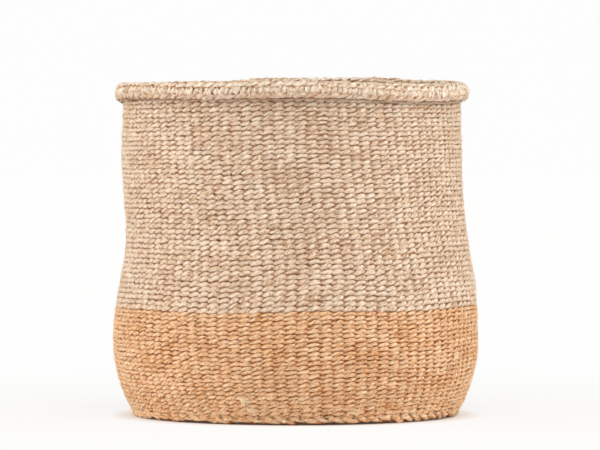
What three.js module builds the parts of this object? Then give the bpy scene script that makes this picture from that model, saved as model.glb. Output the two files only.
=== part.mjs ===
// A round storage basket, twined by hand from sisal cord. Millimetres, +Z up, the floor at z = 0
// and the middle of the belly on the Z axis. Its front, as it is usually shown, faces -Y.
//
// The wall is one fabric: upright warp cords with a pair of weft cords twined round them, course
// upon course, so each run of courses is modelled as the closed shell that it fills.
import * as THREE from "three";

// What touching pieces keep between them.
const CLEARANCE = 0.3;

// Outer radius of the body, and the heights where it is widest, slimmest and so on.
const FOOT_RADIUS = 111.8;
const BELLY_RADIUS = 127.5;
const BELLY_HEIGHT = 57;
const WAIST_RADIUS = 118.5;
const WAIST_ABOVE_BELLY = 83;
const SHOULDER_RADIUS = 118.9;
const SHOULDER_ABOVE_WAIST = 38;
const NECK_RADIUS = 117.8;
const NECK_ABOVE_SHOULDER = 42.45;
// How squarely the wall turns up from the foot: 1 is a straight cone, 2 a parabola.
const HEEL_FULLNESS = 2.3;

// The fabric of the wall, and the height where the dyed weft gives way to the natural one.
const WALL_THICKNESS = 5.2;
const DYED_BAND_HEIGHT = 75.8;

// The base: a knot of crossed warps, a disc twined round it, and a stout course at its edge.
const KNOT_RADIUS = 12;
const KNOT_CROWN = 1.4;
const BASE_THICKNESS = 5.2;
const BASE_LIFT = 0.8;
const BASE_DOME = 2;
const HEEL_WIDTH = 8;
const HEEL_HEIGHT = 6.7;

// The rim: the wall is turned over outwards, and its warp ends are bound down by a last course.
const CROWN_RISE = 7.8;
const LIP_DROP = 5.8;
const CROWN_COURSE_DEPTH = 3.9;
const TURNED_WARP_DEPTH = 4;
const TURNED_WARP_THICKNESS = 3.2;
const TUCKED_END_THICKNESS = 1.5;
const TUCKED_END_HEIGHT = 6.6;
const EDGE_FOOT_DEPTH = 0.9;

// A soft basket never stands quite true. It bulges to +X just above the belly and leans to -X
// from there up.
const BULGE_ABOVE_BELLY = 43;
const BULGE_SHIFT = 1.6;
const LEAN_ABOVE_BULGE = 85;
const LEAN_SHIFT = -2.7;
// How far its rim stands above or below the level: high at the back, and lowest in a dip at the
// front right.
const RIM_BACK_RISE = 2.7;
const RIM_BACK_RIGHT_RISE = 0.3;
const RIM_RIGHT_DROP = 1.7;
const RIM_DIP_DROP = 3.6;
const RIM_FRONT_DROP = 1.4;
const RIM_LEFT_DROP = 2.1;
const RIM_BACK_LEFT_DROP = 1.1;
const WAVE_STARTS_BELOW_NECK = 70;

// How finely the surfaces are faceted: segments round a piece, the longest steps up the heel and
// up the two sides of the wall, and the longest step round the roll of the rim.
const SEGMENTS = 60;
const KNOT_SEGMENTS = 24;
const KNOT_STEPS = 3;
const HEEL_STEP = 2.5;
const OUTER_STEP = 14;
const INNER_STEP = 20;
const ROLL_STEP = THREE.MathUtils.degToRad(19);

const WAIST_HEIGHT = BELLY_HEIGHT + WAIST_ABOVE_BELLY;
const SHOULDER_HEIGHT = WAIST_HEIGHT + SHOULDER_ABOVE_WAIST;
const NECK_HEIGHT = SHOULDER_HEIGHT + NECK_ABOVE_SHOULDER;
const FOLD_HEIGHT = NECK_HEIGHT + LIP_DROP;
const CROWN_HEIGHT = FOLD_HEIGHT + CROWN_RISE;

const RADIUS_STATIONS = [
  [BELLY_HEIGHT, BELLY_RADIUS],
  [WAIST_HEIGHT, WAIST_RADIUS],
  [SHOULDER_HEIGHT, SHOULDER_RADIUS],
  [NECK_HEIGHT, NECK_RADIUS],
];
const SHIFT_STATIONS = [
  [BELLY_HEIGHT, 0],
  [BELLY_HEIGHT + BULGE_ABOVE_BELLY, BULGE_SHIFT],
  [BELLY_HEIGHT + BULGE_ABOVE_BELLY + LEAN_ABOVE_BULGE, LEAN_SHIFT],
];

// The rim's stations are by degrees round from +X.
const RIM_STATIONS = [
  [-180, -RIM_LEFT_DROP],
  [-90, -RIM_FRONT_DROP],
  [-35, -RIM_DIP_DROP],
  [0, -RIM_RIGHT_DROP],
  [24, RIM_BACK_RIGHT_RISE],
  [40, RIM_BACK_RIGHT_RISE],
  [62, RIM_BACK_RISE],
  [98, RIM_BACK_RISE],
  [126, -RIM_BACK_LEFT_DROP],
  [180, -RIM_LEFT_DROP],
];

// The value at a place, such as a height or a turn: each station's own value there, eased from
// one station to the next.
function easeThrough(stations, place) {
  const next = stations.findIndex(([stationPlace]) => stationPlace >= place);
  if (next === 0) return stations[0][1];
  if (next === -1) return stations[stations.length - 1][1];
  const [lowPlace, lowValue] = stations[next - 1];
  const [highPlace, highValue] = stations[next];
  const eased = THREE.MathUtils.smoothstep(place, lowPlace, highPlace);
  return lowValue + (highValue - lowValue) * eased;
}

// Outer radius of the body: a full curve from the foot to the belly, then the stations.
function bodyRadius(height) {
  if (height > BELLY_HEIGHT) return easeThrough(RADIUS_STATIONS, height);
  const drop = 1 - height / BELLY_HEIGHT;
  return BELLY_RADIUS - (BELLY_RADIUS - FOOT_RADIUS) * drop ** HEEL_FULLNESS;
}

// The underside of the base, which rises a little from its edge to the middle.
function undersideHeight(radius) {
  return BASE_LIFT + BASE_DOME * (1 - (radius / FOOT_RADIUS) ** 2);
}

// Values from one to another in equal steps no longer than the longest step.
function stepsBetween(from, to, longestStep) {
  const steps = Math.max(1, Math.ceil(Math.abs(to - from) / longestStep));
  return Array.from({ length: steps + 1 }, (_, i) => from + ((to - from) * i) / steps);
}

// Moves a piece made true to the axis to where it lies in the basket as it stands.
function settle(geometry) {
  const waveStart = NECK_HEIGHT - WAVE_STARTS_BELOW_NECK;
  const position = geometry.getAttribute("position");
  for (let i = 0; i < position.count; i++) {
    const x = position.getX(i);
    const y = position.getY(i);
    const height = position.getZ(i);
    const rise = easeThrough(RIM_STATIONS, THREE.MathUtils.radToDeg(Math.atan2(y, x)));
    const share = THREE.MathUtils.smoothstep(height, waveStart, NECK_HEIGHT);
    position.setXYZ(i, x + easeThrough(SHIFT_STATIONS, height), y, height + rise * share);
  }
  geometry.computeVertexNormals();
}

// Turns a section, given as [radius, height] corners, up the outside and down the inside, into
// a piece round the basket.
function turnedPiece(name, section, material, segments = SEGMENTS) {
  const corners = section.map(([radius, height]) => new THREE.Vector2(radius, height));
  const geometry = new THREE.LatheGeometry(corners, segments);
  geometry.rotateX(Math.PI / 2);
  settle(geometry);
  const mesh = new THREE.Mesh(geometry, material);
  mesh.name = name;
  return mesh;
}

// A closed ring: its section ends where it starts.
function ring(name, section, material) {
  return turnedPiece(name, [...section, section[0]], material);
}

const dyedSisal = new THREE.MeshStandardMaterial({ color: 0xdbaf83, roughness: 0.95, metalness: 0 });
const naturalSisal = new THREE.MeshStandardMaterial({ color: 0xdcc3a6, roughness: 0.95, metalness: 0 });
const warpSisal = new THREE.MeshStandardMaterial({ color: 0xe4cfb4, roughness: 0.95, metalness: 0 });

// The knot where the first warps cross, slightly proud of the base's upper face.
function startKnot() {
  const top = stepsBetween(KNOT_RADIUS, 0, KNOT_RADIUS / KNOT_STEPS).map((radius) => {
    const crown = KNOT_CROWN * (1 - (radius / KNOT_RADIUS) ** 2);
    return [radius, undersideHeight(radius) + BASE_THICKNESS + crown];
  });
  const section = [[0, undersideHeight(0)], [KNOT_RADIUS, undersideHeight(KNOT_RADIUS)], ...top];
  return turnedPiece("start_knot", section, dyedSisal, KNOT_SEGMENTS);
}

// The disc of dyed weft from the knot out to the heel.
function baseWeft() {
  const inner = KNOT_RADIUS + CLEARANCE;
  const outer = FOOT_RADIUS - HEEL_WIDTH - CLEARANCE;
  const middle = (inner + outer) / 2;
  const section = [
    [inner, undersideHeight(inner)],
    [middle, undersideHeight(middle)],
    [outer, undersideHeight(outer)],
    [outer, undersideHeight(outer) + BASE_THICKNESS],
    [middle, undersideHeight(middle) + BASE_THICKNESS],
    [inner, undersideHeight(inner) + BASE_THICKNESS],
  ];
  return ring("base_weft", section, dyedSisal);
}

// The stout course that the basket stands on, where the base turns up into the wall.
function heelCourse() {
  const inner = FOOT_RADIUS - HEEL_WIDTH;
  const outside = stepsBetween(0, HEEL_HEIGHT, HEEL_STEP);
  const section = [
    [inner, 0],
    ...outside.map((height) => [bodyRadius(height), height]),
    [inner, HEEL_HEIGHT],
  ];
  return ring("heel_course", section, dyedSisal);
}

// A run of wall between two heights, with a corner at the belly where the run holds it.
function wallSection(bottom, top) {
  const holdsBelly = bottom < BELLY_HEIGHT && top > BELLY_HEIGHT;
  const stops = holdsBelly ? [bottom, BELLY_HEIGHT, top] : [bottom, top];
  const outside = stops
    .slice(1)
    .flatMap((stop, i) => stepsBetween(stops[i], stop, OUTER_STEP).slice(i ? 1 : 0));
  const inside = stepsBetween(top, bottom, INNER_STEP);
  return [
    ...outside.map((height) => [bodyRadius(height), height]),
    ...inside.map((height) => [bodyRadius(height) - WALL_THICKNESS, height]),
  ];
}

function lowerWallWeft() {
  const section = wallSection(HEEL_HEIGHT + CLEARANCE, DYED_BAND_HEIGHT);
  return ring("lower_wall_weft", section, dyedSisal);
}

function upperWallWeft() {
  const section = wallSection(DYED_BAND_HEIGHT + CLEARANCE, FOLD_HEIGHT - CLEARANCE);
  return ring("upper_wall_weft", section, naturalSisal);
}

// The rim in section, from the wall outwards: wall, tucked warp ends, turned-down warps.
const tuckedInner = NECK_RADIUS + CLEARANCE;
const tuckedOuter = tuckedInner + TUCKED_END_THICKNESS;
const turnedInner = tuckedOuter + CLEARANCE;
const rollOuter = turnedInner + TURNED_WARP_THICKNESS;
const rollInner = NECK_RADIUS - WALL_THICKNESS;
const rollCentre = (rollOuter + rollInner) / 2;
const rollHalfWidth = (rollOuter - rollInner) / 2;
const crownCourseBottom = CROWN_HEIGHT - CROWN_COURSE_DEPTH;
const turnedWarpTop = crownCourseBottom - CLEARANCE;
const turnedWarpBottom = turnedWarpTop - TURNED_WARP_DEPTH;
const edgeTop = turnedWarpBottom - CLEARANCE;
const edgeFootTop = NECK_HEIGHT + EDGE_FOOT_DEPTH;
const tuckedBottom = edgeFootTop + CLEARANCE;
const tuckedTop = tuckedBottom + TUCKED_END_HEIGHT;

// A point on the roll's outline, an oval taller above the fold than below it. The angle is 0 at
// the outside, a quarter turn at the crown and a half turn at the inside.
function rollPoint(angle) {
  const rise = Math.sin(angle) > 0 ? CROWN_RISE : LIP_DROP;
  return [rollCentre + rollHalfWidth * Math.cos(angle), FOLD_HEIGHT + rise * Math.sin(angle)];
}

// The angle at which the outer side of the roll passes a height.
function rollAngle(height) {
  const rise = height > FOLD_HEIGHT ? CROWN_RISE : LIP_DROP;
  return Math.asin((height - FOLD_HEIGHT) / rise);
}

// Points along the roll's outline from one angle to another.
function rollArc(from, to) {
  return stepsBetween(from, to, ROLL_STEP).map(rollPoint);
}

// The last courses of weft, which arch over from the wall's top to the outside.
function crownCourse() {
  const section = [
    [turnedInner - CLEARANCE, crownCourseBottom],
    ...rollArc(rollAngle(crownCourseBottom), Math.PI),
    [NECK_RADIUS, FOLD_HEIGHT],
    [NECK_RADIUS, tuckedTop + CLEARANCE],
    [turnedInner - CLEARANCE, tuckedTop + CLEARANCE],
  ];
  return ring("crown_course", section, naturalSisal);
}

// The band of warp cords, two to a column, that shows between the crown and the edge course.
function turnedWarps() {
  const section = [
    [turnedInner, turnedWarpBottom],
    ...rollArc(rollAngle(turnedWarpBottom), rollAngle(turnedWarpTop)),
    [turnedInner, turnedWarpTop],
  ];
  return ring("turned_warps", section, warpSisal);
}

// The last course, which binds the turned-down warps and draws them in against the wall.
function edgeCourse() {
  const footAngle = -Math.acos((tuckedInner - rollCentre) / rollHalfWidth);
  const section = [
    ...rollArc(footAngle, rollAngle(edgeTop)),
    [turnedInner, edgeTop],
    [turnedInner, edgeFootTop],
    [tuckedInner, edgeFootTop],
  ];
  return ring("edge_course", section, naturalSisal);
}

// The trimmed warp ends, pushed up inside the fold where nobody sees them.
function tuckedWarpEnds() {
  const middle = (tuckedInner + tuckedOuter) / 2;
  const section = [
    [tuckedInner, tuckedBottom],
    [tuckedOuter, tuckedBottom],
    [tuckedOuter, tuckedTop - TUCKED_END_THICKNESS / 2],
    [middle, tuckedTop],
    [tuckedInner, tuckedTop - TUCKED_END_THICKNESS / 2],
  ];
  return ring("tucked_warp_ends", section, warpSisal);
}

const basket = new THREE.Group();
basket.add(startKnot(), baseWeft(), heelCourse(), lowerWallWeft(), upperWallWeft());
basket.add(crownCourse(), turnedWarps(), edgeCourse(), tuckedWarpEnds());

export default basket;
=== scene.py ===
import math

import bpy
import numpy as np
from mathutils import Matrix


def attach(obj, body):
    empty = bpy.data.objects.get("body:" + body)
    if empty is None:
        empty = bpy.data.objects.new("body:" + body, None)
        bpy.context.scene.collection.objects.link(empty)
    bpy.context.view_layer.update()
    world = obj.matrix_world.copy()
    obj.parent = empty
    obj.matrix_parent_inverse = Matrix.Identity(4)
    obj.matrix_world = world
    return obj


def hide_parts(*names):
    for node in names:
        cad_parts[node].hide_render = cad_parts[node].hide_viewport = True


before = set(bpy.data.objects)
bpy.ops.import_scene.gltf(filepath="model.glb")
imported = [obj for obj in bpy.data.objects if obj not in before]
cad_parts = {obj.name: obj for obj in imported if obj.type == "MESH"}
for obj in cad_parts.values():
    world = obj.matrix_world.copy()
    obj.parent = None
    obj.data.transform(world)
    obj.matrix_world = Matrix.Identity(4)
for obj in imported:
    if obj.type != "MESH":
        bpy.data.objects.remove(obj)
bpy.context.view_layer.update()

MM = 0.001

# Start knot
# The basket is begun in the middle of its base, where two layers of warp cord are laid across each
# other and plaited. Ochre-dyed sisal, pulled tight by hand; the first round of weft lashes it.

KNOT_RADIUS, KNOT_CORDS, KNOT_PITCH = 12 * MM, 7, 3.1 * MM
KNOT_HEIGHT, KNOT_SAG, KNOT_WEAVE = 3.6 * MM, 0.5 * MM, 1.05 * MM
KNOT_TALL, KNOT_DEEP, KNOT_FACE = 1.5 * MM, 1.05 * MM, 2 * MM
TWIST, CORD_SHIFT, FLOOR_GAP, FACE_LIFT = 460, 2.7, 0.02 * MM, 2.6 * MM
SWELL_SPREAD, STRIP_LOW, STRIP_TALL = 2.06, 0.1, 0.8
# Dark brown of the painted shade, mixed in by a cord's share of it.
SHADE_BROWN = (96, 70, 50)


def lengthwise(place):
    """Unit direction along each line of points, from the points before and after."""
    way = np.gradient(place, axis=1)
    return way / np.linalg.norm(way, axis=2, keepdims=True)


def cord_mesh(name, groups, sides=6, twist=0.0, rough=0.13):
    """One closed mesh of many cords. A group gives arrays by cord and station: place, the outward
    direction out, half height tall, half depth deep, lift off the fabric's middle, tone, and where
    needed the share of painted shade, the lift of the fabric's face, the direction ahead and the
    metres gone before. The ring at a station is place + tall cos(a) across + deep sin(a) outward,
    and a turns back by twist for each metre gone, so the mesh's lines lie as the fibres do. Each line
    swells and sinks by a share, rough, times a smoothed draw of spread 1, and what would reach the
    floor is pressed flat. Attribute yarn is the metres gone with the cosine and sine of the ring's own
    angle, and shade is tone, nearness to the fabric's face, from which the material paints shade into
    the crevices, and the share of painted shade. Each cord's metres start a shift further on, so that
    no two have the same streaks. The UV map lays the cords out as strips in rows, with a margin, above
    a row that is left to the caps."""
    draw = np.random.default_rng(len(groups) + sides)
    ring = 2 * math.pi * np.arange(sides) / sides
    total = sum(group["place"][..., 0].size for group in groups)
    across_row = 60 * max(1, round(math.sqrt(total) / 20))
    rows = 2 + total // across_row
    cap = 0.5 / rows * (1 + STRIP_TALL * np.stack([np.cos(ring), np.sin(ring)], 1))
    points, yarn, shade, corners, counts, maps = [], [], [], [], [], []
    start = 0
    for group in groups:
        group = {"shade_paint": 0.0, "face": FACE_LIFT, "gone": 0.0, **group}
        place = group["place"]
        number, stations = place.shape[:2]
        ahead = group["ahead"] if "ahead" in group else lengthwise(place)
        across = np.cross(group["out"], ahead)
        across /= np.linalg.norm(across, axis=2, keepdims=True)
        out = np.cross(ahead, across)
        step = np.linalg.norm(np.diff(place, axis=1), axis=2)
        gone = np.pad(np.cumsum(step, axis=1), ((0, 0), (1, 0)))
        gone = gone + CORD_SHIFT * np.arange(number)[:, None] + group["gone"]
        angle = ring - twist * gone[..., None]
        tall, deep, lift, face, tone, shade_paint = (
            np.broadcast_to(group[key], (number, stations))[..., None]
            for key in ("tall", "deep", "lift", "face", "tone", "shade_paint"))
        swell = draw.standard_normal((number, stations + 2, sides))
        swell = 1 + rough * (swell[:, :-2] + 1.5 * swell[:, 1:-1] + swell[:, 2:]) / SWELL_SPREAD
        surface = (swell * tall * np.cos(angle))[..., None] * across[:, :, None]
        surface = surface + (swell * deep * np.sin(angle))[..., None] * out[:, :, None]
        surface += place[:, :, None]
        surface[..., 2] = np.maximum(surface[..., 2], FLOOR_GAP)
        points.append(surface.reshape(-1, 3))
        # Nearness to the fabric's face, from which the material paints shade into the crevices.
        near = np.clip(np.abs(lift + deep * np.sin(angle)) / face, 0, 1.4)
        for store, parts in ((yarn, (gone[..., None], np.cos(ring), np.sin(ring))),
                             (shade, (tone, near, shade_paint))):
            filled = np.broadcast_arrays(*parts, angle)[:3]
            store.append(np.stack(filled, -1).reshape(-1, 3))
        station, side = np.meshgrid(np.arange(stations - 1), np.arange(sides), indexing="ij")
        first = start + np.arange(number)[:, None, None] * stations * sides
        here, beside = station * sides + side, station * sides + (side + 1) % sides
        quads = np.stack([here, beside, beside + sides, here + sides], -1)
        ends = np.stack([np.arange(sides)[::-1], (stations - 1) * sides + np.arange(sides)])
        corners += [(quads + first[..., None]).reshape(-1), (ends + first).reshape(-1)]
        counts += [np.full(number * station.size, 4), np.full(number * 2, sides)]
        strip = first // sides + station
        left = (strip % across_row) / across_row
        low = (strip // across_row + 1 + STRIP_LOW + STRIP_TALL * side / sides) / rows
        right, high = left + 1 / across_row, low + STRIP_TALL / sides / rows
        square = np.stack([left, low, left, high, right, high, right, low], -1)
        maps += [square.reshape(-1, 2), np.tile(cap, (number * 2, 1))]
        start += number * stations * sides
    counts = np.concatenate(counts)
    mesh = bpy.data.meshes.new(name)
    mesh.vertices.add(start)
    mesh.vertices.foreach_set("co", np.concatenate(points).astype(np.float32).ravel())
    mesh.loops.add(int(counts.sum()))
    mesh.loops.foreach_set("vertex_index", np.concatenate(corners).astype(np.int32))
    mesh.polygons.add(len(counts))
    mesh.polygons.foreach_set("loop_start", (np.cumsum(counts) - counts).astype(np.int32))
    mesh.polygons.foreach_set("use_smooth", np.ones(len(counts), bool))
    mesh.update(calc_edges=True)
    for key, values in (("yarn", yarn), ("shade", shade)):
        values = np.concatenate(values).astype(np.float32).ravel()
        mesh.attributes.new(key, "FLOAT_VECTOR", "POINT").data.foreach_set("vector", values)
    uv = mesh.uv_layers.new(name="OFBake", do_init=False)
    uv.uv.foreach_set("vector", np.concatenate(maps).astype(np.float32).ravel())
    piece = bpy.data.objects.new(name, mesh)
    bpy.context.scene.collection.objects.link(piece)
    return piece


def colour(red, green, blue):
    """An sRGB colour of 0 to 255 as the linear numbers that shaders take: ((c + 0.055) / 1.055) to
    the power of 2.4, or c / 12.92 where it is darkest."""
    parts = np.array([red, green, blue]) / 255
    return (*np.where(parts > 0.04045, ((parts + 0.055) / 1.055) ** 2.4, parts / 12.92), 1.0)


def node(tree, kind, inputs=(), **settings):
    """Adds a shader node, gives it its settings, and sets or joins each named input."""
    new = tree.nodes.new("ShaderNode" + kind)
    for key, value in settings.items():
        setattr(new, key, value)
    for key, value in dict(inputs).items():
        if isinstance(value, bpy.types.NodeSocket):
            tree.links.new(value, new.inputs[key])
        else:
            new.inputs[key].default_value = value
    return new


def worked(tree, operation, *values):
    """What a maths node makes of two or three values."""
    return node(tree, "Math", dict(enumerate(values)), operation=operation).outputs[0]


def mapped(tree, value, low, high, bottom=0.0, top=1.0, curve="LINEAR"):
    """A value brought from between low and high to between bottom and top, and kept there."""
    inputs = {0: value, 1: low, 2: high, 3: bottom, 4: top}
    return node(tree, "MapRange", inputs, interpolation_type=curve).outputs[0]


def blended(tree, factor, first, second):
    """A colour that goes from the first to the second as the factor goes from 0 to 1."""
    return node(tree, "Mix", {0: factor, 6: first, 7: second}, data_type="RGBA").outputs[2]


def sisal_group():
    """Sisal yarn as a group. Noise in the yarn's own coordinates, long along it and fine round it,
    makes the fibre streaks; a coarser one makes the bundles; cos(2a) round the ring, as 2 cos(a)^2
    less 1, makes the two plies; a broad noise in the basket's own space makes the uneven batches.
    Their weighted sum with the stitch's tone picks between deep, body and pale fibre. Painted shade:
    what lies deep between the stitches goes towards the crevice colour, and where a cord is given a
    share of painted shade it goes towards a dark brown by that share."""
    tree = bpy.data.node_groups.new("Sisal yarn", "ShaderNodeTree")
    for name in ("Pale fibre", "Body", "Deep fibre", "Crevice shade", "Painted shade"):
        tree.interface.new_socket(name=name, in_out="INPUT", socket_type="NodeSocketColor")
    for name, kind in (("Colour", "Color"), ("Height", "Float"), ("Roughness", "Float")):
        tree.interface.new_socket(name=name, in_out="OUTPUT", socket_type="NodeSocket" + kind)
    given = tree.nodes.new("NodeGroupInput").outputs
    yarn = node(tree, "Attribute", attribute_name="yarn").outputs["Vector"]
    shade = node(tree, "Attribute", attribute_name="shade").outputs["Vector"]
    cosine = node(tree, "SeparateXYZ", {0: yarn}).outputs[1]
    tone, near, shade_paint = node(tree, "SeparateXYZ", {0: shade}).outputs
    place = node(tree, "TexCoord").outputs["Object"]

    def noise(vector, stretch, detail):
        """Fractal noise of a vector multiplied by stretch, as -1 to 1."""
        scaled = node(tree, "VectorMath", {0: vector, 1: stretch}, operation="MULTIPLY").outputs[0]
        made = node(tree, "TexNoise", {"Vector": scaled, "Scale": 1.0, "Detail": detail, "Roughness": 0.6})
        return mapped(tree, made.outputs[0], 0.28, 0.72, -1.0, 1.0)

    streak = noise(yarn, (420, 1.5, 1.5), 2.0)
    bundle = noise(yarn, (150, 0.9, 0.9), 1.0)
    ply = worked(tree, "MULTIPLY_ADD", worked(tree, "MULTIPLY", cosine, cosine), 2.0, -1.0)
    batch = noise(place, (38, 38, 60), 2.0)

    def sum_of(*terms):
        """Weighted sum of sockets."""
        total = 0.0
        for socket, weight in terms:
            total = worked(tree, "MULTIPLY_ADD", socket, weight, total)
        return total

    fibre = sum_of((streak, 0.55), (bundle, 0.15), (batch, 0.14), (ply, 0.1), (tone, 0.03))
    fibre = worked(tree, "ADD", fibre, 0.5)
    mixed = blended(tree, mapped(tree, fibre, 0.0, 0.5), given["Deep fibre"], given["Body"])
    mixed = blended(tree, mapped(tree, fibre, 0.5, 1.0), mixed, given["Pale fibre"])
    # Painted shade in the crevices: the deeper below the fabric's face, the more of the crevice colour.
    crevice_shade = mapped(tree, near, 0.82, 0.46, 0.0, 0.72, "SMOOTHSTEP")
    mixed = blended(tree, crevice_shade, mixed, given["Crevice shade"])
    out = tree.nodes.new("NodeGroupOutput").inputs
    # Painted shade: towards the dark brown by the cord's share of it.
    tree.links.new(blended(tree, shade_paint, mixed, given["Painted shade"]), out["Colour"])
    tree.links.new(sum_of((streak, 0.6), (bundle, 0.3), (ply, 0.35)), out["Height"])
    tree.links.new(mapped(tree, streak, -1.0, 1.0, 0.92, 0.7), out["Roughness"])
    return tree


SISAL = sisal_group()


def sisal(name, pale, body, deep, crevice_shade, raised=0.5 * MM):
    """A sisal finish: the yarn group in these colours, with its streaks raised and almost dull."""
    made = bpy.data.materials.new(name)
    made.use_nodes = True
    tree = made.node_tree
    tree.nodes.clear()
    group = node(tree, "Group", node_tree=SISAL)
    for key, value in (("Pale fibre", pale), ("Body", body), ("Deep fibre", deep), ("Crevice shade", crevice_shade),
                       ("Painted shade", SHADE_BROWN)):
        group.inputs[key].default_value = colour(*value)
    bump = node(tree, "Bump", {"Height": group.outputs["Height"], "Strength": 1.0, "Distance": raised})
    shader = node(tree, "BsdfPrincipled", {
        "Base Color": group.outputs["Colour"], "Roughness": group.outputs["Roughness"],
        "Normal": bump.outputs[0], "Specular IOR Level": 0.05})
    tree.links.new(shader.outputs[0], node(tree, "OutputMaterial").inputs[0])
    return made


OCHRE = sisal("ochre-dyed sisal", (241, 216, 183), (233, 188, 146), (194, 130, 71), (204, 95, 20))


def put(piece, slot, finish, *nodes):
    """Gives a finished piece its material, its body and the CAD nodes it stands for. The slot is not used.
    """
    piece.data.materials.append(finish)
    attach(piece, "root")
    if nodes:
        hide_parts(*nodes)


bars = []
count = np.arange(KNOT_CORDS)[:, None]
offset = (count - (KNOT_CORDS - 1) / 2) * KNOT_PITCH
along = np.linspace(-1, 1, 25) * np.sqrt((KNOT_RADIUS + 1 * MM) ** 2 - offset ** 2)
for layer in (0, 1):
    over = KNOT_WEAVE * np.cos(math.pi * (along / KNOT_PITCH + count + layer))
    height = KNOT_HEIGHT - KNOT_SAG * (along ** 2 + offset ** 2) / KNOT_RADIUS ** 2 + over
    flat = (along, offset + 0 * along) if layer == 0 else (offset + 0 * along, along)
    place = np.stack([*flat, height], -1)
    down = np.broadcast_to(np.array([0.0, 0.0, -1.0]), place.shape)
    bars.append(dict(place=place, out=down, tall=KNOT_TALL, deep=KNOT_DEEP, lift=-over,
                     tone=(count * 5 % 7 - 3) / 4, face=KNOT_FACE))
put(cord_mesh("start_knot", bars, twist=TWIST), "dyed_sisal", OCHRE, "start_knot")

# Base weft
# The flat base: two ochre-dyed weft cords wound in a spiral, which twist round each bundle of warps
# in turn. Warps are added as it grows, so that 25 bundles become 50 and then the wall's 100.

FOOT_RADIUS, BELLY_RADIUS, BELLY_HEIGHT, HEEL_FULLNESS = 111.8 * MM, 127.5 * MM, 57 * MM, 2.3
WALL_HEIGHTS = np.array([57, 140, 178, 220.45]) * MM
WALL_RADII = np.array([127.5, 118.5, 118.9, 117.8]) * MM
ROLL_CENTRE, ROLL_HALF_WIDTH, FOLD_HEIGHT = 117.85 * MM, 5.25 * MM, 226.25 * MM
CROWN_RISE, LIP_DROP = 7.8 * MM, 5.8 * MM
BASE_LIFT, BASE_DOME, HALF_FABRIC, HALF_CUFF = 0.8 * MM, 2 * MM, 2.6 * MM, 1.6 * MM
LEAN_HEIGHTS, LEAN_SHIFTS = np.array([57, 100, 185]) * MM, np.array([0, 1.6, -2.7]) * MM
WAVE_HEIGHTS = np.array([150.45, 220.45]) * MM
RIM_TURNS = np.array([-180, -90, -35, 0, 24, 40, 62, 98, 126, 180])
RIM_RISES = np.array([-2.1, -1.4, -3.6, -1.7, 0.3, 0.3, 2.7, 2.7, -1.1, -2.1]) * MM
CORNER_RADIUS, CORNER_HEIGHT, LINE_STEP = 108.5 * MM, 7.6 * MM, 0.25 * MM
ROW_WANDER, ROW_TREMOR, FOOT_TREMOR = 0.45 * MM, 0.1 * MM, 0.35 * MM
COLUMN_DRIFT, COLUMN_LEAN, FABRIC_DENTS = 1.1 * MM, 0.05, 0.2 * MM
STITCH_STEPS, STITCH_LAG, STITCH_FLATNESS, MOST_STITCHES, PROBE = 6, 0.3, 2.2, 9000, 0.3 * MM
BASE_EDGE, WALL_FOOT, FOLD_START, SEAM = 107.3 * MM, 7.2 * MM, 226.05 * MM, math.pi / 2
COLUMNS = 100
BASE_RINGS = ((25, 8), (50, 12), (COLUMNS, 13))
RING_RADII = np.array([12.3, 36, 74]) * MM


def eased(x, marks, values):
    """Level beyond the end marks, and a smoothstep 3t^2 - 2t^3 from value to value between them."""
    i = np.clip(np.searchsorted(marks, x) - 1, 0, len(marks) - 2)
    t = np.clip((x - marks[i]) / (marks[i + 1] - marks[i]), 0, 1)
    return values[i] + (values[i + 1] - values[i]) * t * t * (3 - 2 * t)


def share(x, low, high):
    """Smoothstep from 0 at low to 1 at high."""
    return eased(x, np.array([low, high]), np.array([0.0, 1.0]))


def wall_radius(height):
    """Outside of the wall: below the belly it falls in by (1 - h / belly) to the power of the heel's
    fullness, and above it the radius is eased between waist, shoulder and neck."""
    short = np.clip(1 - height / BELLY_HEIGHT, 0, None) ** HEEL_FULLNESS
    foot = BELLY_RADIUS - (BELLY_RADIUS - FOOT_RADIUS) * short
    return np.where(height < BELLY_HEIGHT, foot, eased(height, WALL_HEIGHTS, WALL_RADII))


def fabric_line():
    """Middle of the fabric as radius and height: out along the base to the corner, up the wall, and
    round the oval roll of the rim, radius c - w cos(a) and height f + r sin(a), whose fabric gets
    thinner as a goes from the inside to the outside. It is spaced evenly, and a running mean of
    eleven points rounds its corners. The angle round the roll is given with it."""
    base = np.linspace(0, CORNER_RADIUS, 200)
    wall = np.linspace(CORNER_HEIGHT, FOLD_HEIGHT, 400)
    round_roll = np.radians(np.linspace(2, 275, 130))
    half = HALF_FABRIC + (HALF_CUFF - HALF_FABRIC) * share(round_roll, math.radians(20), math.radians(160))
    rise = np.where(round_roll < math.pi, CROWN_RISE, LIP_DROP) - half
    radius = [base, wall_radius(wall) - HALF_FABRIC,
              ROLL_CENTRE - (ROLL_HALF_WIDTH - half) * np.cos(round_roll)]
    height = [BASE_LIFT + BASE_DOME * (1 - (base / FOOT_RADIUS) ** 2) + HALF_FABRIC, wall,
              FOLD_HEIGHT + rise * np.sin(round_roll)]
    line = np.stack([np.concatenate(radius), np.concatenate(height)], 1)
    gone = np.concatenate([[0], np.cumsum(np.hypot(*np.diff(line, axis=0).T))])
    run = np.arange(0, gone[-1], LINE_STEP)
    even = np.stack([np.interp(run, gone, line[:, k]) for k in (0, 1)], 1)
    wide = np.pad(even, ((5, 5), (0, 0)), mode="reflect", reflect_type="odd")
    mean = np.full(11, 1 / 11)
    angle = np.interp(run, gone, np.concatenate([0 * base, 0 * wall, round_roll]))
    return run, angle, np.stack([np.convolve(wide[:, k], mean, "valid") for k in (0, 1)], 1)


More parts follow.
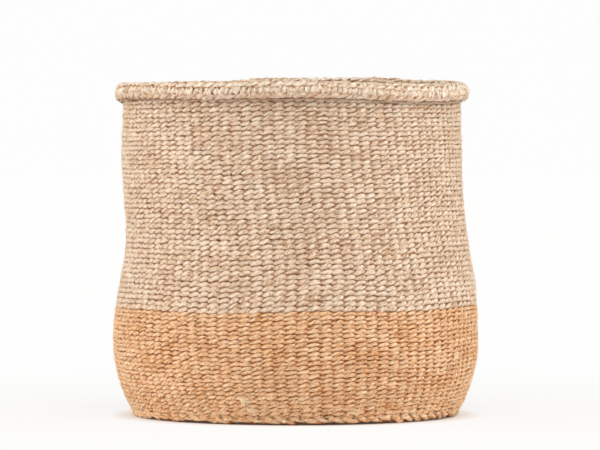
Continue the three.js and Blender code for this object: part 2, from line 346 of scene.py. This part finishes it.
RUN, ROLL_ANGLE, LINE = fabric_line()
ALONG = np.gradient(LINE, axis=0) / np.linalg.norm(np.gradient(LINE, axis=0), axis=1)[:, None]
OUTWARD = np.stack([ALONG[:, 1], -ALONG[:, 0]], 1)


def run_at_radius(radius):
    """How far along the fabric line the base reaches a radius."""
    return RUN[np.argmax(LINE[:, 0] >= radius)]


def run_at_height(height):
    """How far along the fabric line the wall reaches a height."""
    return RUN[np.argmax((LINE[:, 1] >= height) & (RUN > HEEL_RUN))]


def run_at_angle(degrees):
    """How far along the fabric line the roll has turned by an angle: 90 is its top, 180 outside."""
    return RUN[np.argmax(ROLL_ANGLE >= math.radians(degrees))]


HEEL_RUN = run_at_radius(BASE_EDGE)
FOOT_RUN = run_at_height(WALL_FOOT)
FOLD_RUN = run_at_height(FOLD_START)
RING_RUNS = [run_at_radius(radius) for radius in RING_RADII] + [FOOT_RUN]


def bearing(turn):
    """A turn round the basket in degrees from -180 to 180, with -90 at the front."""
    return (np.degrees(turn) + 180) % 360 - 180


def ripples(turn, run, seed, rounds, length, count=10):
    """Smooth unevenness of spread 1: a sum of cosines at drawn phases, each with a whole number of
    waves round the basket, up to rounds, and a wave of at least length along the fabric."""
    draw = np.random.default_rng(seed)
    total = np.zeros(np.broadcast(turn, run).shape)
    for _ in range(count):
        around, phase = draw.integers(-rounds, rounds + 1), draw.uniform(0, 2 * math.pi)
        along = draw.uniform(-1, 1) * 2 * math.pi / length
        total += np.cos(around * turn + along * run + phase)
    return total / math.sqrt(count / 2)


def settled(turn, radius, height):
    """World place of a point of the round basket: it leans a little sideways above the belly, and
    the height gains what the rim rises or drops at that turn, as far as the wave reaches down."""
    rise = eased(bearing(turn), RIM_TURNS, RIM_RISES)
    wave = share(height, *WAVE_HEIGHTS)
    shift = eased(height, LEAN_HEIGHTS, LEAN_SHIFTS)
    return np.stack([radius * np.cos(turn) + shift, radius * np.sin(turn), height + wave * rise], -1)


def fabric(turn, run, lift):
    """World place and outward direction of a point of the fabric, from its turn round the basket,
    its run along the fabric line and its lift off the middle. Rows wander by long and short ripples,
    which nearly die out at the heel, and by ragged ones just above it. Columns drift sideways and
    lean, as hand weaving does, and the fabric has shallow dents."""
    turn, run, lift = np.broadcast_arrays(turn, run, lift)
    free = 0.25 + 0.75 * share(run, HEEL_RUN, HEEL_RUN + 40 * MM)
    run = run + ROW_WANDER * free * ripples(turn, run, 11, 7, 90 * MM)
    run = run + ROW_TREMOR * free * ripples(turn, run, 14, 30, 14 * MM)
    ragged = share(run, HEEL_RUN + 4 * MM, HEEL_RUN + 8 * MM)
    ragged = ragged - share(run, HEEL_RUN + 12 * MM, HEEL_RUN + 24 * MM)
    run = run + FOOT_TREMOR * ragged * ripples(turn, run, 15, 46, 9 * MM)
    radius, height, out_r, out_h = (np.interp(run, RUN, line) for line in (*LINE.T, *OUTWARD.T))
    drift = COLUMN_DRIFT * ripples(turn, run, 12, 6, 110 * MM) - COLUMN_LEAN * (run - HEEL_RUN)
    turn = turn + drift * radius / (radius ** 2 + (15 * MM) ** 2)
    lift = lift + FABRIC_DENTS * ripples(turn, run, 13, 9, 45 * MM)
    out = np.stack([out_r * np.cos(turn), out_r * np.sin(turn), out_h], -1)
    return settled(turn, radius + out_r * lift, height + out_h * lift), out


def shade_below_cuff(run):
    """Painted shade on the last courses just below the cuff: 0.12 from 7 to 4 mm before the fold,
    eased in from 11 mm before it."""
    return 0.12 * share(run, FOLD_RUN - 11 * MM, FOLD_RUN - 7 * MM) * (run < FOLD_RUN - 4 * MM)


def twined(first, last, columns, course_at, seed, stand=1.55 * MM, deep=1.02 * MM, slope=0.21,
           face=2.5 * MM, drop=None, shade_level=0.0):
    """Two weft cords twisting round the warps from column first to column last, counted on round and
    round. Cord s is at phase pi (column + s). Its lift is stand times the flattened cosine, tanh(f
    cos) / tanh(f), of the phase less a lag, and its step along the run is slope times the sine, so
    it shows as a slanting stitch on every other column. A stitch is as tall as its course in the
    middle, thins out where the cords cross and is fuller at its upper end, times how far the
    fabric's bend stretches it there. course_at gives the run and the height of a course after so
    many rounds, face is the lift of the fabric's face, from which the painted crevice shade is
    measured, drop says how far the cord is let down at a turn, and the last argument is the share of
    painted shade the round takes; the courses just below the cuff take painted shade too. Each stitch
    has its own drawn size, place and tone."""
    at = np.arange(first * STITCH_STEPS - 1, last * STITCH_STEPS + 2) / STITCH_STEPS
    own = np.clip(np.random.default_rng(seed).standard_normal((7, 2, MOST_STITCHES)), -2.2, 2.2)
    fat, slant, row, stand_out, column, tone, thick = (
        np.stack([np.interp(at + 1, np.arange(MOST_STITCHES), line) for line in kind]) for kind in own)
    phase = math.pi * (at + np.array([[0], [1]]))
    run, course = course_at(at / columns)
    late = phase - STITCH_LAG
    middle = (0.5 + 0.5 * np.cos(2 * late)) ** 0.8
    head = np.sin(phase) * np.sign(np.cos(phase))
    run = run + course * (slope * (1 + 0.2 * slant) * np.sin(phase) + 0.055 * row)
    flattened = np.tanh(STITCH_FLATNESS * np.cos(late))
    lift = (stand + 0.15 * MM * stand_out) * flattened / math.tanh(STITCH_FLATNESS)
    turn = SEAM + 2 * math.pi / columns * (at + 0.055 * column)
    lift = lift - (drop(turn) if drop else 0)
    place, out = fabric(turn, run, lift)
    above, below = fabric(turn, run + PROBE, lift)[0], fabric(turn, run - PROBE, lift)[0]
    stretch = np.linalg.norm(above - below, axis=2) / (2 * PROBE)
    tall = stretch * course * (0.33 + 0.155 * middle + 0.07 * head) * (1 + 0.08 * fat)
    deep = deep * (1.45 - 0.45 * middle) * (1 + 0.06 * thick)
    shade_paint = np.maximum(shade_level, shade_below_cuff(run))
    cut = (slice(None), slice(1, -1))
    return dict(place=place[cut], out=out[cut], ahead=lengthwise(place)[cut], tall=tall[cut],
                deep=deep[cut], lift=lift[cut], tone=tone[cut], shade_paint=shade_paint[cut], gone=first * 1.3,
                face=face)


def even_courses(start, end, rounds):
    """Courses of even height wound from one run to another, one a round."""
    def course_at(turns):
        """Run after so many rounds, and height of the course."""
        return start + (end - start) * turns / rounds, (end - start) / rounds

    return course_at


base = [twined(0, columns * rounds, columns, even_courses(low, high, rounds), 20 + columns)
        for (columns, rounds), low, high in zip(BASE_RINGS, RING_RUNS, RING_RUNS[1:])]
put(cord_mesh("base_weft_inner", base[:2], twist=TWIST), "dyed_sisal", OCHRE, "base_weft")
put(cord_mesh("base_weft_outer", base[2:], twist=TWIST), "dyed_sisal", OCHRE, "base_weft")

# Heel course
# The stout round at the foot, where the base turns into the wall and on which the basket stands:
# three ochre-dyed cords, each over two warps and behind one, so that its strokes slant the other
# way. Where the strokes go in, most at their upper ends, they are darkened with painted shade.

HEEL_STROKES, HEEL_STEPS, HEEL_RADIUS, HEEL_HEIGHT, HEEL_SLOPE = 78, 5, 111.8 * MM, 3.9 * MM, 0.6
HEEL_OUT, HEEL_UP, HEEL_TALL, HEEL_DEEP, HEEL_FACE = 1.6 * MM, 1.2 * MM, 1.8 * MM, 1.5 * MM, 1.7 * MM

stroke = np.arange(0, HEEL_STROKES * HEEL_STEPS + 1) / HEEL_STEPS
drawn = np.clip(np.random.default_rng(31).standard_normal((3, 3, HEEL_STROKES + 1)), -2, 2)
drawn[:, :, -1] = drawn[:, :, 0]
marks = np.arange(HEEL_STROKES + 1)
fat, tone, row = (np.stack([np.interp(stroke, marks, line) for line in kind]) for kind in drawn)
phase = 2 * math.pi / 3 * (stroke + np.arange(3)[:, None])
forward, upward = HEEL_OUT * np.cos(phase), -HEEL_UP * np.sin(phase) + 0.35 * MM * row
turn = SEAM + 2 * math.pi / HEEL_STROKES * stroke
place = settled(turn + 0 * phase, HEEL_RADIUS + forward + HEEL_SLOPE * upward, HEEL_HEIGHT + upward)
out = np.broadcast_to(np.stack([np.cos(turn), np.sin(turn), 0 * turn], -1), place.shape)
# Painted shade in the pits where the strokes go in, most at their upper ends.
pit_shade = 0.8 * share(0.5 * upward - forward, -0.9 * MM, 0.2 * MM)
heel = dict(place=place, out=out, tall=HEEL_TALL * (1 + 0.13 * fat), deep=HEEL_DEEP, lift=forward,
            tone=tone, face=HEEL_FACE, shade_paint=pit_shade)
put(cord_mesh("heel_course", [heel], sides=8, twist=230, rough=0.26), "dyed_sisal", OCHRE, "heel_course")

# Lower wall weft
# The ochre-dyed third of the wall, worked in one spiral from the end of the base's to the change of
# colour. The cord is a little finer than the undyed one, so its courses are 3 mm high.

OCHRE_TOP, OCHRE_COURSES, OCHRE_PIECE = 75.95 * MM, 24, 12
DYE_RUN = run_at_height(OCHRE_TOP)

lower_course = even_courses(FOOT_RUN, DYE_RUN, OCHRE_COURSES)
for k in range(0, OCHRE_COURSES, OCHRE_PIECE):
    weft = twined(k * COLUMNS, (k + OCHRE_PIECE) * COLUMNS, COLUMNS, lower_course, 41)
    put(cord_mesh(f"lower_wall_weft_{k // OCHRE_PIECE + 1}", [weft], twist=TWIST),
        "dyed_sisal", OCHRE, "lower_wall_weft")

# Upper wall weft
# The undyed two thirds, from the change of colour to the fold. The courses get a little lower
# towards the rim, where the weaver beat them tighter.

UNDYED = sisal("undyed sisal", (236, 222, 202), (227, 202, 178), (188, 148, 107), (202, 121, 64))
UPPER_COURSES, UPPER_PIECE, TIGHTER = 44, 11, 0.1


def upper_course(turns):
    """Courses from the colour change to the fold, each higher than the mean by half the share
    tighter at the start and lower by it at the end, so the run has a term with the square of the
    turns."""
    course, gone = (FOLD_RUN - DYE_RUN) / UPPER_COURSES, turns / UPPER_COURSES
    run = DYE_RUN + course * turns * (1 + TIGHTER / 2 * (1 - gone))
    return run, course * (1 + TIGHTER / 2 * (1 - 2 * gone))


for k in range(0, UPPER_COURSES, UPPER_PIECE):
    weft = twined(k * COLUMNS, (k + UPPER_PIECE) * COLUMNS, COLUMNS, upper_course, 42)
    put(cord_mesh(f"upper_wall_weft_{k // UPPER_PIECE + 1}", [weft], twist=TWIST),
        "natural_sisal", UNDYED, "upper_wall_weft")

# Crown courses
# At the top the fabric is folded outward into a round roll, and four more rounds of undyed weft go
# over it, so that what was the inside of the fabric shows on the cuff.

CROWN_END, CROWN_COURSES, CROWN_GROWTH, CROWN_CLOSING = run_at_angle(152), 4, 0.36, 0.15
# A lighter copy of the undyed finish: painted light for the top of the rim, lit from above.
RIM_LIT_COPY = sisal("undyed sisal lightened for the lit rim", (248, 239, 225), (235, 216, 194), (203, 172, 141),
            (210, 156, 108), 0.6 * MM)


def crown_course(turns):
    """Courses over the roll, each higher than the last by the growth shared out over them, so the
    run has a term with the square of the turns. The last one ends level with its own edge: half its
    height is taken off the run, fading with exp(-rounds left / closing)."""
    course, gone = (CROWN_END - FOLD_RUN) / CROWN_COURSES, turns / CROWN_COURSES
    left = np.clip(CROWN_COURSES - turns, 0, None)
    tall = course * (1 + CROWN_GROWTH * (gone - 0.5))
    run = FOLD_RUN + course * turns * (1 + CROWN_GROWTH / 2 * (gone - 1))
    return run - 0.5 * tall * np.exp(-left / CROWN_CLOSING), tall


weft = twined(0, CROWN_COURSES * COLUMNS, COLUMNS, crown_course, 43, stand=1.05 * MM, deep=0.95 * MM,
              slope=0.2, face=2 * MM)
put(cord_mesh("crown_course", [weft], twist=TWIST, rough=0.22), "natural_sisal", RIM_LIT_COPY, "crown_course")

# Edge course
# A stout round of undyed weft binds the turned-down warps together at the lower edge of the cuff,
# and a thinner one, drawn tight behind it, closes the cuff against the wall. Both are darkened with
# painted shade, the thinner one most, for the shadow under the cuff.

LIP_RUNS, CLOSING_RUNS = (run_at_angle(185), run_at_angle(240)), (run_at_angle(246), run_at_angle(264))
SAG_TURNS = np.array([-180, -140, -90, -62, -35, 5, 60, 140, 180])
SAGS = np.array([1.8, 0.7, 0.9, 1.1, 2.2, 0.8, 0, 0, 1.8]) * MM
SAG_LESS = 0.7 * MM


def level_round(runs):
    """A round that stays level between two marks on the fabric line and is as high as from one to
    the other."""
    def course_at(turns):
        """Run after so many rounds, and height of the course."""
        return sum(runs) / 2 + 0 * turns, runs[1] - runs[0]

    return course_at


def sag(turn):
    """How far the closing round hangs below the cuff at a turn round the basket."""
    return eased(bearing(turn), SAG_TURNS, SAGS) - SAG_LESS


# Painted shade: 0.14 on the stout round, 0.38 on the closing round.
edge = [twined(0, COLUMNS, COLUMNS, level_round(LIP_RUNS), 44, stand=0.6 * MM, slope=0.22,
               face=1.6 * MM, shade_level=0.14),
        twined(0, COLUMNS, COLUMNS, level_round(CLOSING_RUNS), 45, stand=0.4 * MM, deep=0.7 * MM,
               face=1.3 * MM, drop=sag, shade_level=0.38)]
put(cord_mesh("edge_course", edge, twist=TWIST, rough=0.26), "natural_sisal", UNDYED, "edge_course")

# Warps
# A hundred pairs of undyed cord run from the base up inside the wall and over the roll. They show
# as the band of upright cords on the cuff, and deep between the stitches. Where the weft is dyed
# they are darker and warmer: a guessed stain from the dyed weft, and painted shade for the pits
# between the stitches.

BARE = sisal("bare warp sisal", (245, 232, 214), (230, 208, 185), (197, 163, 131), (210, 156, 108),
             0.6 * MM)
# A darker, warmer copy of the warp finish under the dyed weft: a guessed stain, and painted shade for the
# pits.
STAINED_AND_SHADED = sisal("stained and shaded warp sisal", (240, 200, 146), (224, 178, 120), (188, 134, 80), (204, 110, 40),
                0.6 * MM)
LAST_RUN = run_at_angle(226)
WARP_ASIDE, WARP_SPREAD, WARP_SLANT = 0.165, 0.08, 5
WARP_TALL, WARP_DEEP = 1.2 * MM, 0.8 * MM


def warps(columns, low, high, spacing):
    """Pairs of cords up the middle of the fabric, one each side of their column, from run low to
    run high. Where they are bare, between the crown and the edge course, they swell, spread apart
    and slant, and they bulge outward by the cosine from the middle of that band to its ends."""
    run = np.append(np.arange(low, high, spacing), high)
    draw = np.random.default_rng(columns).standard_normal((3, 2 * columns, 1))
    bare = share(run, CROWN_END - 1 * MM, CROWN_END + 0.7 * MM)
    bare = bare * (1 - share(run, LIP_RUNS[0] - 0.7 * MM, LIP_RUNS[0] + 0.7 * MM))
    off_middle = (2 * run - CROWN_END - LIP_RUNS[0]) / (LIP_RUNS[0] - CROWN_END + 1 * MM)
    bulge = np.cos(math.pi / 2 * np.clip(off_middle, -1, 1))
    side = np.tile([-1.0, 1.0], columns)[:, None] * (WARP_ASIDE + WARP_SPREAD * bare) + 0.02 * draw[0]
    turn = SEAM + 2 * math.pi / columns * (np.repeat(np.arange(columns), 2)[:, None] + side)
    turn = turn - WARP_SLANT * (run - CROWN_END - 2 * MM) * bare
    lift = -0.3 * draw[1] * MM * bare - 0.25 * MM * bulge
    place, out = fabric(turn, run, lift)
    tall = WARP_TALL * (1 + 0.3 * bare + (0.42 + 0.1 * draw[2]) * bulge)
    # The lift handed on is moved 2.4 mm where the warps are bare, so that no painted crevice shade falls on
    # them.
    return dict(place=place, out=out, tall=tall, deep=WARP_DEEP * (1 + 0.8 * bare),
                lift=lift - 2.4 * MM * bare, tone=draw[2] * 2)


inner = [warps(columns, low, high, 3 * MM)
         for (columns, _), low, high in zip(BASE_RINGS[:2], RING_RUNS, RING_RUNS[1:])]
put(cord_mesh("base_warps", inner, sides=5), "warp_sisal", STAINED_AND_SHADED)
for name, finish, low, high in (("wall_warps_1", STAINED_AND_SHADED, RING_RUNS[2], DYE_RUN),
                                ("wall_warps_2", BARE, DYE_RUN, FOLD_RUN)):
    put(cord_mesh(name, [warps(COLUMNS, low, high, 9 * MM)], sides=5), "warp_sisal", finish)
turned = warps(COLUMNS, FOLD_RUN - 1 * MM, LAST_RUN, 0.8 * MM)
put(cord_mesh("turned_warps", [turned], sides=8, twist=500, rough=0.28), "warp_sisal", BARE, "turned_warps")

# Tucked warp ends
# Undyed cord ends: below the edge course each warp goes back up inside the fold, where it is held
# by the closing round, and is trimmed there.

END_RADIUS, END_LOW, END_HIGH, END_ASIDE = 118.9 * MM, 222.6 * MM, 228.9 * MM, 0.22
END_TALL, END_DEEP = 1.3 * MM, 0.75 * MM

draw = np.random.default_rng(51).standard_normal((3, 2 * COLUMNS, 1))
height = END_LOW + (END_HIGH - END_LOW + 0.8 * MM * draw[0]) * np.linspace(0, 1, 5)
side = np.tile([-END_ASIDE, END_ASIDE], COLUMNS)[:, None]
turn = SEAM + 2 * math.pi / COLUMNS * (np.repeat(np.arange(COLUMNS), 2)[:, None] + side)
turn = turn - COLUMN_LEAN * (FOLD_RUN - HEEL_RUN) / END_RADIUS + 0.01 * draw[1] + 0 * height
place = settled(turn, END_RADIUS + 0 * height, height)
out = np.stack([np.cos(turn), np.sin(turn), 0 * turn], -1)
ends = dict(place=place, out=out, tall=END_TALL, deep=END_DEEP, lift=0.0, tone=draw[2] * 0.8)
put(cord_mesh("tucked_warp_ends", [ends], sides=5), "warp_sisal", BARE, "tucked_warp_ends")

# Loose fibres
# Sisal is a stiff leaf fibre, and its ends stand out of the cords all over the basket as a fine
# pale fuzz. They are single fibres, held by the twist of the cord. Near the foot, where the basket
# is pushed about, there are more of them, and a few yarn ends have frayed.

OCHRE_FIBRE = sisal("loose ochre fibre", (255, 236, 204), (248, 216, 172), (222, 170, 118),
                    (222, 170, 118), 0.0)
UNDYED_FIBRE = sisal("loose undyed fibre", (248, 234, 214), (238, 216, 190), (212, 178, 144),
                     (212, 178, 144), 0.0)
FUZZ_COUNT, ASTRAY_COUNT, FOOT_COUNT, FRAY_FIBRES = 6000, 900, 1800, 22
OCHRE_FRAYS = ((-108, 20 * MM, -0.7, 15 * MM), (-106, 12 * MM, -0.2, 9 * MM), (-87.2, 18 * MM, 1.4, 4 * MM),
               (-71, 9 * MM, 0.4, 7 * MM), (-30, 42 * MM, 0.9, 7 * MM), (35, 20 * MM, 2.6, 11 * MM),
               (98, 55 * MM, -0.5, 9 * MM), (165, 30 * MM, 0.8, 12 * MM))
MIDDLE_RUN = run_at_height(150 * MM)


def loose(count, low, high, seed, points, longest, astray, highest):
    """Single fibres: each starts in the face of the fabric at a drawn place, and goes off within an
    angle astray of the stitches' own slant, in a shallow bow whose lift is highest stand^2 t (2 - t),
    with t from 0 to 1 along it."""
    draw = np.random.default_rng(seed)
    t = np.linspace(0, 1, points)
    ranges = ((0, 2 * math.pi), (low, high), (0.2 - astray, 0.2 + astray), (longest / 4, longest),
              (0.2, 1), (-1.2, 1.2))
    turn, run, way, length, stand, curl = (
        draw.uniform(least, most, (count, 1)) for least, most in ranges)
    way = way + curl * t + np.where(draw.random((count, 1)) < 0.5, 0, math.pi)
    far = length * t
    radius = np.interp(run, RUN, LINE[:, 0])
    face = np.where(run > FOLD_RUN, -0.8, 1)
    lift = face * (2.2 * MM + highest * stand ** 2 * t * (2 - t))
    place, out = fabric(turn + far * np.cos(way) / radius, run + far * np.sin(way) * 0.7, lift)
    thin = draw.uniform(0.06, 0.17, (count, 1)) * MM * (1 - 0.6 * t)
    tone = draw.uniform(-3, 12, (count, 1))
    return dict(place=place, out=out, tall=thin, deep=thin, lift=lift, tone=tone)


def frayed(places, seed):
    """Ends of yarn that have come untwisted: at each place, a turn in degrees, a height, a way and a
    length, a bundle of fibres starts from one spot and spreads out in a shallow bow, whose lift
    grows with t (2 - t)."""
    draw = np.random.default_rng(seed)
    t = np.linspace(0, 1, 8)
    turn, height, way, length = (np.repeat(column, FRAY_FIBRES)[:, None] for column in np.array(places).T)
    count = len(turn)
    way = way + draw.normal(0, 0.22, (count, 1)) + draw.uniform(-0.8, 0.8, (count, 1)) * t
    far = length * draw.uniform(0.4, 1, (count, 1)) * t
    wall = (RUN > HEEL_RUN) & (RUN < MIDDLE_RUN)
    run = np.interp(height, LINE[wall, 1], RUN[wall]) + draw.normal(0, 0.5, (count, 1)) * MM
    turn = np.radians(turn) + draw.normal(0, 0.006, (count, 1)) + far * np.cos(way) / BELLY_RADIUS
    lift = (2.0 + draw.uniform(0.5, 2.2, (count, 1)) * t * (2 - t)) * MM
    place, out = fabric(turn, run + far * np.sin(way), lift)
    thin = draw.uniform(0.11, 0.26, (count, 1)) * MM * (1 - 0.5 * t)
    tone = draw.uniform(6, 14, (count, 1))
    return dict(place=place, out=out, tall=thin, deep=thin, lift=lift, tone=tone)


for name, slot, finish, low, high, seed in (
        ("ochre_fibres", "dyed_sisal", OCHRE_FIBRE, HEEL_RUN, DYE_RUN, 61),
        ("undyed_fibres_1", "natural_sisal", UNDYED_FIBRE, DYE_RUN, MIDDLE_RUN, 62),
        ("undyed_fibres_2", "natural_sisal", UNDYED_FIBRE, MIDDLE_RUN, LIP_RUNS[1], 63)):
    area = (high - low) / (DYE_RUN - HEEL_RUN)
    groups = [loose(int(FUZZ_COUNT * area), low, high, seed, 3, 5 * MM, 0.7, 0.7 * MM),
              loose(int(ASTRAY_COUNT * area), low, high, seed + 10, 6, 9 * MM, 1.4, 2.4 * MM)]
    if finish is OCHRE_FIBRE:
        groups += [frayed(OCHRE_FRAYS, 81),
                   loose(FOOT_COUNT, low, low + 24 * MM, 82, 4, 8 * MM, 1.5, 1.3 * MM)]
    put(cord_mesh(name, groups, sides=3, rough=0.0), slot, finish)

# Setting
# A pale studio: a white floor that keeps the basket's shadow, big soft lamps low on both sides, a
# smaller one above and one in front, and a long lens just below the rim, looking along +Y.

FLOOR_WHITE, BACK_WHITE, ROOM_LIGHT = 0.99, 0.985, 0.2
WARM = (1.0, 0.98, 0.95)


def looked_at(tree):
    """1 for what the camera sees, straight, in a reflection or through something clear."""
    path = node(tree, "LightPath").outputs
    either = worked(tree, "MAXIMUM", path["Is Camera Ray"], path["Is Glossy Ray"])
    return worked(tree, "MAXIMUM", either, path["Is Transmission Ray"])


floor_mesh = bpy.data.meshes.new("floor")
floor_mesh.from_pydata([(-6, -6, 0), (6, -6, 0), (6, 12, 0), (-6, 12, 0)], [], [(0, 1, 2, 3)])
floor = bpy.data.objects.new("floor", floor_mesh)
bpy.context.scene.collection.objects.link(floor)
paint = bpy.data.materials.new("white floor")
paint.use_nodes = True
tree = paint.node_tree
tree.nodes.clear()
# What is seen of the floor is mostly a white of its own, all of it far off and 0.86 of it round the
# basket. Under the foot it is paint that takes the shadow, in a warm colour, and the white next to it
# is warmer: both warm tints are painted light, as if thrown back from the basket.
spot = node(tree, "TexCoord").outputs["Object"]
away = node(tree, "VectorMath", {0: spot}, operation="LENGTH").outputs["Value"]
under = mapped(tree, away, 0.1105, 0.116, 0.04, 0.7, "SMOOTHSTEP")
clear = mapped(tree, away, 0.112, 0.134, curve="SMOOTHSTEP")
near = worked(tree, "MULTIPLY_ADD", clear, 0.3, under)
white = worked(tree, "MULTIPLY", mapped(tree, away, 0.15, 0.6, 0.86, 1.0), near)
# Painted light: next to the foot the floor's own white is tinted warm, as by light thrown back from the
# basket.
tint = blended(tree, clear, (1.0, 0.88, 0.78, 1.0), (1.0, 1.0, 0.995, 1.0))
own = node(tree, "Emission", {"Color": tint, "Strength": FLOOR_WHITE}).outputs[0]
shadowed = node(tree, "BsdfDiffuse", {"Color": (0.82, 0.76, 0.7, 1.0)}).outputs[0]
seen = node(tree, "MixShader", {0: white, 1: shadowed, 2: own}).outputs[0]
plain = node(tree, "BsdfDiffuse", {"Color": (0.92, 0.92, 0.92, 1.0)}).outputs[0]
mixed = node(tree, "MixShader", {0: looked_at(tree), 1: plain, 2: seen}).outputs[0]
tree.links.new(mixed, node(tree, "OutputMaterial").inputs[0])
floor_mesh.materials.append(paint)

world = bpy.data.worlds.new("studio")
bpy.context.scene.world = world
world.use_nodes = True
tree = world.node_tree
tree.nodes.clear()
room = node(tree, "Background", {"Color": (1.0, 0.99, 0.97, 1.0), "Strength": ROOM_LIGHT}).outputs[0]
back = node(tree, "Background", {"Color": (1.0, 1.0, 0.995, 1.0), "Strength": BACK_WHITE}).outputs[0]
mixed = node(tree, "MixShader", {0: looked_at(tree), 1: room, 2: back}).outputs[0]
tree.links.new(mixed, node(tree, "OutputWorld").inputs[0])


def lamp(name, place, aim, size, power, tint=(1.0, 1.0, 1.0)):
    """A square area lamp at place that points at aim and shines in a tint."""
    data = bpy.data.lights.new(name, "AREA")
    data.size, data.energy, data.color = size, power, tint
    made = bpy.data.objects.new(name, data)
    way = np.array(aim) - np.array(place)
    flat = math.hypot(way[0], way[1])
    made.location = place
    made.rotation_euler = (math.atan2(flat, -way[2]), 0, math.atan2(-way[0], way[1]))
    bpy.context.scene.collection.objects.link(made)


lamp("lamp_left", (-1.68, -0.4, 0.33), (0, 0, 0.1), 1.7, 37.5)
lamp("lamp_right", (1.68, -0.4, 0.33), (0, 0, 0.1), 1.7, 36)
lamp("lamp_above", (0.08, -0.66, 1.9), (0, 0, 0.12), 0.9, 17.5, WARM)
lamp("lamp_front", (0, -3.6, 0.75), (0, 0, 0.05), 1.4, 28, WARM)

camera_data = bpy.data.cameras.new("camera")
camera_data.lens, camera_data.sensor_width = 270, 36
camera_data.clip_end = 50
camera = bpy.data.objects.new("camera", camera_data)
camera.location = (0.0031, -3.144, 0.2094)
camera.rotation_euler = (math.radians(90 - 1.4), 0, 0)
bpy.context.scene.collection.objects.link(camera)
bpy.context.scene.camera = camera
bpy.context.scene.view_settings.view_transform = "Standard"
